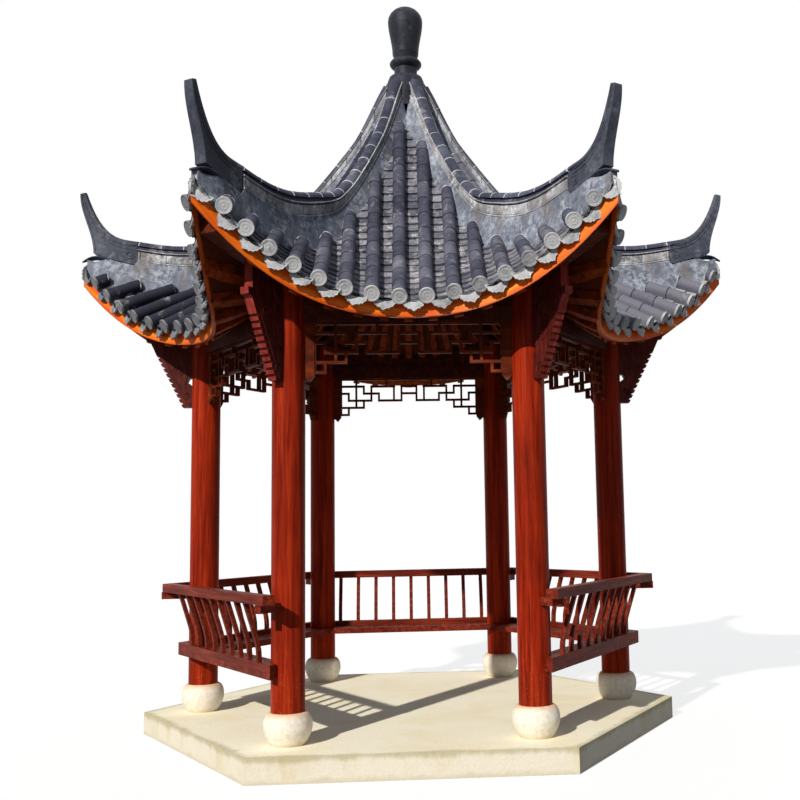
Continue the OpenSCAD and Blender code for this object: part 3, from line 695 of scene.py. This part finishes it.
rowCount = tileRows["rows"]
rowStep = (arcLengths[-1] - tileRows["leftGap"] - tileRows["rightGap"]) / (rowCount - 1)
covers, coverTones, pans, panTones, discs, discTones, drips, dripTones = [], [], [], [], [], [], [], []
for i in range(rowCount):
    s = tileRows["leftGap"] + i * rowStep
    for head, foot, across, part in layRow(s, tileRows["coverLen"], tileRows["hipGap"]):
        wobble = Matrix.Rotation(dice.uniform(-0.012, 0.012), 4, "Z")
        covers.append(framePlace(head, foot, across, tileRows["axisUp"], long=part) @ wobble)
        coverTones.append(dice.random())
    head, foot, across, part = layRow(s, tileRows["coverLen"], tileRows["hipGap"])[0]
    discs.append(framePlace(head, foot, across, tileRows["axisUp"])
                 @ Matrix.Translation((0, (foot - head).length / 2 - 0.004, 0))
                 @ Matrix.Rotation(dice.uniform(0, 6), 4, "Y"))
    discTones.append(dice.random())
for i in range(rowCount + 1):
    s, wide = tileRows["leftGap"] + (i - 0.5) * rowStep, 1.0
    if i == 0:
        s, wide = tileRows["leftDrip"], tileRows["leftDripWide"]
    elif i == rowCount:
        s = arcLengths[-1] - tileRows["rightDrip"]
    for head, foot, across, part in layRow(s, tileRows["panLen"], tileRows["panHipGap"], 0.012):
        lift = tileRows["panUp"] + dice.uniform(-0.002, 0.003)
        pans.append(framePlace(head, foot, across, lift, long=part))
        panTones.append(dice.random())
    u, v = rowAt(s)
    foot = facePoint(u + overhangAt(v / (u * tan30)), v, 0.026)
    place = framePlace(foot - Vector((0.02, 0, 0)), foot, acrossAt(u, v), 0.0, wide)
    drips.append(place @ Matrix.Rotation(math.radians(dice.uniform(6, 12)), 4, "X"))
    dripTones.append(dice.random())

for name, master, places, tones, finish in (
        ("coverTiles", coverMaster(), covers, coverTones, clays["roofTile"]),
        ("panTiles", panMaster(), pans, panTones, clays["panTile"]),
        ("tileDiscs", discMaster(), discs, discTones, clays["tileEnd"]),
        ("dripTiles", dripMaster(), drips, dripTones, clays["tileEnd"])):
    allPlaces = [bayTurn(k) @ place for k in six for place in places]
    # bay 2 paler as painted sunlight, bay 6 darker
    shifts = tileRows["endTones" if finish == clays["tileEnd"] else "bayPaintedLightAndTone"]  # paler and darker bays
    allTones = [(shade + 0.13 * k) % 1.0 + shifts.get(k, 0.0) for k in six for shade in tones]
    shadedEndY = {"coverTiles": -tileRows["coverLen"] / 2, "panTiles": -tileRows["panLen"] / 2}.get(name)
    mesh = joinCopies(name, master, allPlaces, allTones, shadedEndY)
    piece = addPiece(mesh, finish, 35)
    if name == "coverTiles":
        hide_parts("tile_rows")
    print(name, len(allPlaces), "copies,", len(mesh.polygons), "faces")


# eave boards
eaveBoard = {"steps": 56, "round": 0.004, "grainShift": 3}


def makeEaveBoards():
    bm = bmesh.new()
    layers = (bm.verts.layers.float.new("along"), bm.verts.layers.float.new("across"))
    height, thick = roofForm["boardH"], roofForm["boardT"]
    for k in six:
        turn = bayTurn(k)
        rings, marks = [], []
        walked, last = 0.0, None
        for i in range(eaveBoard["steps"] + 1):
            t = -1 + 2 * i / eaveBoard["steps"]
            outer, inner = eaveAt(t), eaveAt(t) - thick
            top = roofZ(inner, t)
            corners = [(outer, top - height, 0.0), (outer, top - eaveBoard["round"], height),
                       (outer - eaveBoard["round"], top, height), (inner, top, height),
                       (inner, top - height, 0.0)]
            ring = [turn @ Vector((u, u * t * tan30, z)) for u, z, a in corners]
            walked += (ring[0] - last).length if last is not None else 0.0
            last = ring[0]
            rings.append(ring)
            marks.append([(walked + eaveBoard["grainShift"] * k, a) for u, z, a in corners])
        sweepRings(bm, rings, marks, layers)
    piece = addPiece(meshFrom(bm, "eaveBoards"), orangeBoard)
    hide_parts("eave_fascia")


makeEaveBoards()
print("eave boards made")


# hip ridges: mortar, stone courses, round caps
ridgeForm = {
    "foot": 0.1, "hTop": 0.27, "hMore": 0.115, "growR": 0.8, "growLen": 0.6, "thinR": 1.5, "thinRate": 0.06,
    "baseH": 0.15, "startR": 0.15, "hornR": 2.142, "endR": 2.55, "crown": 0.12, "crownLen": 0.3,
    "slabLen": 0.205, "joint": 0.005, "capLen": 0.178, "capWide": 0.05, "capTall": 0.042, "bead": 0.0035,
    "fillet": 0.022, "filletTop": 0.53, "filletIn": 0.055, "filletCurve": 1.6, "pastEave": 0.006,
    "cornerTall": 1.7, "cornerDrop": 1.25, "dropR": 2.36, "dropLen": 0.16,
    "mortarStep": 0.035, "mortarSink": 0.014, "smear": 0.012, "lump": 0.005,
}


def ridgeH(r):
    return (ridgeForm["hTop"] + ridgeForm["hMore"] * easeAt((r - ridgeForm["growR"]) / ridgeForm["growLen"])
            - ridgeForm["thinRate"] * max(0.0, r - ridgeForm["thinR"])  # then the run up to the collar
            + ridgeForm["crown"] * (1 - easeAt((r - ridgeForm["startR"]) / ridgeForm["crownLen"])))


def ridgeTop(r):
    return hipZ(r) + ridgeH(r)


def ridgeSlope(r):
    return (ridgeTop(r + 0.01) - ridgeTop(r - 0.01)) / 0.02


def ridgeWalk(start, end, length):  # radii that divide a ridge into even lengths
    rs, r = [start], start
    while r < end - 0.02:
        slope = (hipZ(r + 0.01) - hipZ(r - 0.01)) / 0.02
        r = min(end, r + length / math.sqrt(1 + slope * slope))
        rs.append(r)
    return rs


def ridgePoint(turn, r, d, z):
    return turn @ Vector((r, d, z))


def filletZ(r, d):  # height of the mortar that runs from the ridge's courses down to the tiles
    outer = ridgeForm["foot"] + ridgeForm["fillet"]
    share = min(1.0, max(0.0, (outer - d) / (outer - ridgeForm["filletIn"])))
    h = ridgeH(r)
    if r >= ridgeForm["hornR"]:  # under the horn, and lower towards the corner
        drop = ridgeForm["cornerDrop"] * easeAt((r - ridgeForm["dropR"]) / ridgeForm["dropLen"])
        h = ridgeForm["baseH"] * (ridgeForm["cornerTall"] - drop)
    top = hipZ(r) + ridgeForm["filletTop"] * h - sideZ(r, ridgeForm["filletIn"])
    return sideZ(r, d) + top * share ** ridgeForm["filletCurve"]


def filletReach(r):  # the mortar stops just past the eave
    d = ridgeForm["foot"] + ridgeForm["fillet"]
    while d > 0.03:
        u = r * cos30 + d * sin30
        if u < eaveAt((r * sin30 - d * cos30) / (u * tan30)) + ridgeForm["pastEave"]:
            break
        d -= 0.005
    return d


def mortarRing(turn, r, seed):
    reach = filletReach(r)
    inner = min(ridgeForm["filletIn"], reach * 0.6)
    ring = []
    for side in (-1, 1):
        smear = ridgeForm["smear"] * noise.noise(Vector((r * 9, side * 3.0, seed)))
        half = [(side * reach, sideZ(r, reach) - ridgeForm["mortarSink"])]
        for i in range(8):
            d = reach + (inner - reach) * i / 7
            lump = ridgeForm["lump"] * noise.noise(Vector((r * 17, side * 5 + i * 0.8, seed)))
            half.append((side * d, filletZ(r, d) + lump + smear * (1 - i / 7)))
        ring.append(half)
    return [ridgePoint(turn, r, d, z) for d, z in ring[0] + ring[1][::-1]]


def makeRidge(k):
    turn = cornerTurn(k)
    bm = bmesh.new()
    stops = ridgeWalk(ridgeForm["startR"], ridgeForm["endR"], ridgeForm["mortarStep"])
    sweepRings(bm, [mortarRing(turn, r, k * 7.3) for r in stops])
    mortar = addPiece(meshFrom(bm, f"ridgeMortar{k}"), clays["limeMortar"], 60)
    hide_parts(f"hip_ridge_{k}")

    bm = bmesh.new()  # stone courses
    toneLayer = bm.verts.layers.float.new("tone")

    def course(r0, r1, shares, tint, steps=2):  # shares of the foot's width and of the ridge's height
        rings = []
        for i in range(steps + 1):
            r = r0 + (r1 - r0) * i / steps
            h, z0 = ridgeH(r), hipZ(r)
            right = [(ridgeForm["foot"] * w, z0 + h * s) for w, s in shares]
            rings.append([ridgePoint(turn, r, d, z) for d, z in [(-d, z) for d, z in right] + right[::-1]])
        tintRows(sweepRings(bm, rings), toneLayer, tint)

    stops = ridgeWalk(ridgeForm["startR"], ridgeForm["hornR"], ridgeForm["slabLen"])
    for r0, r1 in zip(stops, stops[1:]):
        gap = ridgeForm["joint"] / 2
        wide = 0.5 + dice.uniform(-0.015, 0.02)
        shares = [(wide, 0.565), (wide + 0.02, 0.58), (wide + 0.02, 0.72), (wide, 0.735)]
        course(r0 + gap, r1 - gap, shares, dice.random())
    for low, high, wide in ((0.52, 0.555, 0.6), (0.765, 0.795, 0.58)):  # mouldings under and over the courses
        shares = [(wide - 0.06, low), (wide, low + 0.008), (wide, high - 0.008), (wide - 0.06, high)]
        course(ridgeForm["startR"], ridgeForm["hornR"], shares, 0.85, 40)
    addPiece(meshFrom(bm, f"ridgeCourses{k}"), clays["ridgeCourse"], 35)

    bm = bmesh.new()  # core behind the joints, and the cap tiles
    toneLayer = bm.verts.layers.float.new("tone")
    course(ridgeForm["startR"], ridgeForm["hornR"], [(0.42, 0.42), (0.42, 0.8), (0.28, 0.9)], 0.1, 40)
    stops = ridgeWalk(ridgeForm["startR"], ridgeForm["hornR"], ridgeForm["capLen"])

    def capRing(r, swell, shift=0.0):  # half round, square to the ridge line
        slope = ridgeSlope(r)
        flat = 1 / math.sqrt(1 + slope * slope)
        wide, tall = ridgeForm["capWide"] * swell, ridgeForm["capTall"] * swell
        r += shift * flat
        z = ridgeTop(r) - ridgeForm["capTall"] / flat
        return [ridgePoint(turn, r - slope * flat * tall * math.sin(a), wide * math.cos(a),
                           z + flat * tall * math.sin(a)) for a in roundAngles(10, False)]

    for r0, r1 in zip(stops, stops[1:]):
        tint = dice.random()
        rings = [capRing(r0, 0.98, 0.002), capRing((r0 + r1) / 2, 0.99), capRing(r1, 1.0, -0.002)]
        tintRows(sweepRings(bm, rings), toneLayer, tint)
    addPiece(meshFrom(bm, f"ridgeCaps{k}"), clays["ridgeCap"], 40)

    bm = bmesh.new()  # mortar beads over the joints of the cap
    for r in stops[1:]:
        wide = ridgeForm["bead"] + dice.uniform(0, 0.0025)
        sweepRings(bm, [capRing(r, 0.99, -wide), capRing(r, 1.05, -wide * 0.4), capRing(r, 1.05, wide * 0.4),
                        capRing(r, 0.99, wide)])
    addPiece(meshFrom(bm, f"ridgeBeads{k}"), clays["jointLime"], 60)


def lipAt(u, v, angle):  # point of a row's half round, and how far it stands over the mortar
    side = -acrossAt(u, v).normalized()
    up = side.cross(facePoint(u - 0.01, v) - facePoint(u + 0.01, v)).normalized()
    up = up if up.z > 0 else -up
    out = side * math.cos(angle) + up * math.sin(angle)
    point = facePoint(u, v) + up * tileRows["axisUp"] + out * tileRows["radius"]
    r, d = point.x * cos30 + abs(point.y) * sin30, point.x * sin30 - abs(point.y) * cos30
    return point, out, point.z - filletZ(r, d)


def makeLimeLips():  # thin lime where the rows go under the mortar
    bm = bmesh.new()
    lipSteps = 10
    for i in range(rowCount):
        foot, v = rowAt(tileRows["leftGap"] + i * rowStep)
        path, outs = [], []
        for angle in roundAngles(lipSteps, False):
            head, low = abs(v) / tan30 + 0.1, foot
            if lipAt(low, v, angle)[2] < 0:
                break
            for n in range(24):
                u = (head + low) / 2
                head, low = (u, low) if lipAt(u, v, angle)[2] < 0 else (head, u)
            point, out = lipAt(low, v, angle)[:2]
            path.append(point)
            outs.append(out)
        if len(path) <= lipSteps:
            continue
        rings = []
        for j, point in enumerate(path):
            along = (path[min(j + 1, lipSteps)] - path[max(j - 1, 0)]).normalized()
            beside = along.cross(outs[j]).normalized()
            thick = tileRows["lip"] * max(0.15, 0.45 + 2.2 * noise.noise(point * 21))
            rings.append([point + (outs[j] * math.sin(a) + beside * math.cos(a) * 1.5) * thick
                          for a in roundAngles(6)])
        for k in six:
            sweepTurned(bm, rings, bayTurn(k))
    addPiece(meshFrom(bm, "limeLips"), clays["jointLime"], 60)


for k in six:
    makeRidge(k)
makeLimeLips()
print("ridges made")


# horns at the ridge ends
hornForm = {"wide": 0.084, "tipWide": 0.062, "tip": 0.046, "rise": 0.4, "baseH": 0.15, "steps": 26,
            "rollTall": 0.042, "rollTip": 0.012, "slopeR": 2.13, "rim": 0.014, "bevel": 0.004, "sunk": 0.005}
hornBackR = ridgeForm["hornR"] + 0.0013
hornTipR = cornerR - 0.01
hornFootR = cornerR - 0.08
hornBackZ = ridgeTop(ridgeForm["hornR"])
hornTipZ = hornBackZ + hornForm["rise"]


def hornBack(s):  # the curved back of a horn, from the ridge to its tip
    length = hornTipR - ridgeForm["hornR"]
    ease = ridgeSlope(hornForm["slopeR"]) * length * s * (1 - s) ** 2
    return Vector((hornBackR + length * s, 0, hornBackZ + hornForm["rise"] * s**3 + ease))


def hornSide(s):  # unit vector from the back into the horn
    along = (hornBack(s + 0.01) - hornBack(s - 0.01)).normalized()
    return Vector((along.z, 0, -along.x))


def rollAt(s):
    return hornForm["rollTall"] + (hornForm["rollTip"] - hornForm["rollTall"]) * s


def hornWide(s):
    return hornForm["wide"] + (hornForm["tipWide"] - hornForm["wide"]) * s


def hornWideAt(z):
    return hornWide(min(1.0, max(0.0, (z - hornBackZ) / (hornTipZ - hornBackZ))))


def hornOutline():
    footZ = hipZ(hornFootR) + hornForm["baseH"]
    steps = hornForm["steps"]
    back = []
    for i in range(steps + 1):
        p = hornBack(i / steps) + hornSide(i / steps) * rollAt(i / steps) * 0.8
        back.append((max(p.x, hornBackR), p.z))
    front = []
    for i in range(steps, -1, -1):
        reach = (hornTipR + hornForm["tip"] - hornFootR) * easeAt(i / steps)
        front.append((hornFootR + reach, footZ + (hornTipZ - 0.012 - footZ) * i / steps))
    low = []
    for s in (0.75, 0.5, 0.25, 0.0):
        r = hornBackR + (hornFootR - hornBackR) * s
        low.append((r, hipZ(r) + hornForm["baseH"] - 0.004))
    return back + front + low


def makeHorn(k, outline):
    bm = bmesh.new()
    face = bm.faces.new([bm.verts.new((r, -0.5, z)) for r, z in outline])
    grown = bmesh.ops.extrude_face_region(bm, geom=[face])["geom"]
    bmesh.ops.translate(bm, verts=[g for g in grown if isinstance(g, bmesh.types.BMVert)], vec=(0, 1, 0))
    for v in bm.verts:
        v.co.y *= hornWideAt(v.co.z)
    bmesh.ops.recalc_face_normals(bm, faces=bm.faces)
    sides = [f for f in bm.faces if len(f.verts) > 4]
    for thick, sunk in ((hornForm["rim"], 0.0), (hornForm["bevel"], hornForm["sunk"])):
        bmesh.ops.inset_individual(bm, faces=sides, thickness=thick, depth=-sunk, use_even_offset=True)
    bmesh.ops.transform(bm, matrix=cornerTurn(k), verts=bm.verts)
    return addPiece(meshFrom(bm, f"ridgeHorn{k}"), clays["hornGlaze"], 30)


def makeHornRolls():  # the round cap runs on along the backs of the horns
    bm = bmesh.new()
    for k in six:
        turn = cornerTurn(k)
        rings = []
        for i in range(17):
            s = i / 16
            side, tall = hornSide(s), rollAt(s)
            wide = hornWide(s**3) / 2 + 0.008 * (1 - easeAt(s / 0.35))
            foot = hornBack(s) + side * tall
            rings.append([turn @ (foot - side * tall * math.sin(a) + Vector((0, wide * math.cos(a), 0)))
                          for a in roundAngles(10, False)])
        sweepRings(bm, rings)
    addPiece(meshFrom(bm, "hornRolls"), clays["hornGlaze"], 50)


ribForm = {"thick": 0.0065, "offsets": (0.05, 0.075), "from": 0.12, "to": 0.95, "curl": 0.044, "turns": 1.7,
           "sunk": 0.006}


def ribPath(offset, curl):  # follows the back of the horn and ends in a scroll
    points = []
    for i in range(31):
        s = ribForm["to"] + (ribForm["from"] - ribForm["to"]) * i / 30
        points.append(hornBack(s) + hornSide(s) * offset * (1 - 0.55 * s * s))
    if curl:
        middle = points[-1] + Vector((0, 0, -ribForm["curl"]))
        for i in range(1, 29):
            a = math.pi / 2 + math.tau * ribForm["turns"] * i / 28
            size = ribForm["curl"] * (1 - 0.78 * i / 28)
            points.append(middle + Vector((math.cos(a) * size, 0, math.sin(a) * size)))
    return points


def tubeRings(points, thick, side):  # small round section along a path that lies in a side face
    rings = []
    for i, p in enumerate(points):
        along = (points[min(i + 1, len(points) - 1)] - points[max(i - 1, 0)]).normalized()
        out = Vector((along.z, 0, -along.x))
        rings.append([p + out * math.cos(a) * thick + Vector((0, side * math.sin(a) * thick, 0))
                      for a in roundAngles(6)])
    return rings


def makeHornRibs():
    bm = bmesh.new()
    for k in six:
        for side in (-1, 1):
            for n, offset in enumerate(ribForm["offsets"]):
                points = ribPath(offset, n == 1)
                for p in points:
                    p.y = side * (hornWideAt(p.z) / 2 - ribForm["sunk"])
                sweepTurned(bm, tubeRings(points, ribForm["thick"], side), cornerTurn(k))
    addPiece(meshFrom(bm, "hornRibs"), clays["hornGlaze"], 50)


beakForm = {"backR": 2.36, "tipR": 2.585, "tipZ": 3.665, "wide": 0.062, "thick": 0.02, "sunk": 0.02,
            "arch": 0.03, "pointFrom": 0.6}


def makeBeaks():  # tongue tiles at the corners, under the horns
    bm = bmesh.new()
    backZ = hipZ(beakForm["backR"]) + hornForm["baseH"] - beakForm["sunk"]
    for k in six:
        turn = cornerTurn(k)
        rings = []
        for i in range(9):
            s = i / 8
            r = beakForm["backR"] + (beakForm["tipR"] - beakForm["backR"]) * s
            z = backZ + (beakForm["tipZ"] - backZ) * s + beakForm["arch"] * math.sin(math.pi * s)
            point = max(0.0, s - beakForm["pointFrom"]) / (1 - beakForm["pointFrom"])
            point = max(0.06, 1 - point**2)
            wide = beakForm["wide"] * (1 - 0.25 * s) * point
            thick = beakForm["thick"] * (1 - 0.6 * s)
            rings.append([turn @ Vector((r, wide * math.cos(a), z + thick * math.sin(a)))
                          for a in roundAngles(12)])
        sweepRings(bm, rings)
    addPiece(meshFrom(bm, "cornerBeaks"), clays["ridgeCap"], 50)


makeHornRibs()
makeHornRolls()
makeBeaks()
horns = [makeHorn(k, hornOutline()) for k in six]
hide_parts("ridge_horns")
print("horns made")

# carved scrolls on the sides of the corner brackets
# middle and size of each, measured from the column and the bracket's foot
carving = {"scrolls": ((0.05, 0.085, 0.03), (0.105, 0.285, 0.047), (0.165, 0.425, 0.058), (0.07, 0.5, 0.045)),
           "turns": 1.8, "thick": 0.0085, "half": 0.032, "sunk": 0.003, "columnFace": 1.71,
           "borderFrom": (0.028, 0.02), "borderRun": (0.205, 0.4),
           "stemFrom": (0.03, 0.1), "stemRun": (0.06, 0.5), "stemSway": 0.018}


def scrollPath(r, z, size, flip):
    points = []
    for i in range(31):
        a = math.tau * carving["turns"] * i / 30
        left = size * (1 - 0.8 * i / 30)
        points.append(Vector((r + flip * left * math.cos(a), 0, z + left * math.sin(a))))
    return points


def makeCarving():
    bm = bmesh.new()
    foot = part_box("corner_brackets")[0][2]
    face = carving["columnFace"]
    paths = [scrollPath(face + r, foot + z, size, 1 if n % 2 else -1)
             for n, (r, z, size) in enumerate(carving["scrolls"])]
    for line, sway in (("border", 0.0), ("stem", carving["stemSway"])):
        (r, z), (runR, runZ) = carving[line + "From"], carving[line + "Run"]
        r, z = face + r, foot + z
        paths.append([Vector((r + runR * i / 12 + sway * math.sin(i * 1.1), 0, z + runZ * i / 12))
                      for i in range(13)])
    for k in six:
        for side in (-1, 1):
            for path in paths:
                points = [p + Vector((0, side * (carving["half"] - carving["sunk"]), 0)) for p in path]
                sweepTurned(bm, tubeRings(points, carving["thick"], side), cornerTurn(k))
    relief = lacquerFinish("carvedRelief", lacquerLooks["carvedWood"])
    addPiece(meshFrom(bm, "bracketCarving"), relief, 50)


makeCarving()
print("brackets carved")


# stage, light and camera
stageLook = {"floor": tone(170, 170, 170), "ground": tone(112, 112, 110), "size": 60,
             "below": 0.0005, "share": 0.45, "glow": 1.74}


def seenStraight(owner):  # 1 where the camera, a reflection or a clear pane looks at it
    rays = newNode(owner, "LightPath")
    seen = calc(owner, "MAXIMUM", rays.outputs["Is Camera Ray"], rays.outputs["Is Glossy Ray"])
    return calc(owner, "MAXIMUM", seen, rays.outputs["Is Transmission Ray"])


def makeStage():
    bm = bmesh.new()
    bmesh.ops.create_grid(bm, x_segments=1, y_segments=1, size=stageLook["size"])
    bmesh.ops.translate(bm, verts=bm.verts, vec=(0, 0, -stageLook["below"]))
    mesh = bpy.data.meshes.new("studioFloor")
    bm.to_mesh(mesh)
    bm.free()
    floor = bpy.data.objects.new("studioFloor", mesh)
    scene.collection.objects.link(floor)
    mat = bpy.data.materials.new("studioFloor")
    mat.use_nodes = True
    tree = mat.node_tree
    shader = tree.nodes["Principled BSDF"]
    shader.inputs["Roughness"].default_value = 0.9
    glow = newNode(mat, "Emission")
    glow.inputs["Strength"].default_value = stageLook["glow"]
    mix = newNode(mat, "MixShader")
    seen = seenStraight(mat)
    feed(mat, shader.inputs["Base Color"], mixTone(mat, seen, stageLook["ground"], stageLook["floor"]))
    feed(mat, mix.inputs["Fac"], calc(mat, "MULTIPLY", seen, stageLook["share"]))
    tree.links.new(shader.outputs["BSDF"], mix.inputs[1])
    tree.links.new(glow.outputs["Emission"], mix.inputs[2])
    tree.links.new(mix.outputs["Shader"], tree.nodes["Material Output"].inputs["Surface"])
    mesh.materials.append(mat)


lightLook = {"sun": 4.4, "sunSoft": 0.02, "sunTone": (1.0, 0.96, 0.9), "aim": (59.5, 0, -31.5),
             "fill": 0.27, "fillTone": (0.76, 0.86, 1.0, 1)}


def makeLight():
    world = bpy.data.worlds.new("studioSky")
    scene.world = world
    world.use_nodes = True
    tree = world.node_tree
    soft = tree.nodes["Background"]
    soft.inputs["Color"].default_value = lightLook["fillTone"]
    soft.inputs["Strength"].default_value = lightLook["fill"]
    white = newNode(world, "Background")
    white.inputs["Strength"].default_value = 1.0
    white.inputs["Color"].default_value = (1, 1, 1, 1)
    mix = newNode(world, "MixShader")
    feed(world, mix.inputs["Fac"], seenStraight(world))
    tree.links.new(soft.outputs["Background"], mix.inputs[1])
    tree.links.new(white.outputs["Background"], mix.inputs[2])
    tree.links.new(mix.outputs["Shader"], tree.nodes["World Output"].inputs["Surface"])
    sun = bpy.data.lights.new("keySun", "SUN")
    sun.energy = lightLook["sun"]
    sun.angle = lightLook["sunSoft"]
    sun.color = lightLook["sunTone"]
    lamp = bpy.data.objects.new("keySun", sun)
    lamp.rotation_euler = [math.radians(a) for a in lightLook["aim"]]
    scene.collection.objects.link(lamp)


cameraLook = {"lens": 47.55, "at": (-0.0094, -8.4225, 1.5441), "yaw": 3.9226, "pitch": 6.637,
              "roll": -1.0652, "shiftX": -0.1}


def makeCamera():
    data = bpy.data.cameras.new("photoView")
    data.sensor_width = 36
    data.lens = cameraLook["lens"]
    data.shift_x = cameraLook["shiftX"]
    eye = bpy.data.objects.new("photoView", data)
    turn = (Matrix.Rotation(math.radians(-cameraLook["yaw"]), 4, "Z")
            @ Matrix.Rotation(math.radians(90 + cameraLook["pitch"]), 4, "X")
            @ Matrix.Rotation(math.radians(cameraLook["roll"]), 4, "Z"))
    eye.matrix_world = Matrix.Translation(cameraLook["at"]) @ turn
    scene.collection.objects.link(eye)
    scene.camera = eye


makeStage()
makeLight()
makeCamera()
scene.view_settings.view_transform = "Standard"
print("stage, light and camera set")
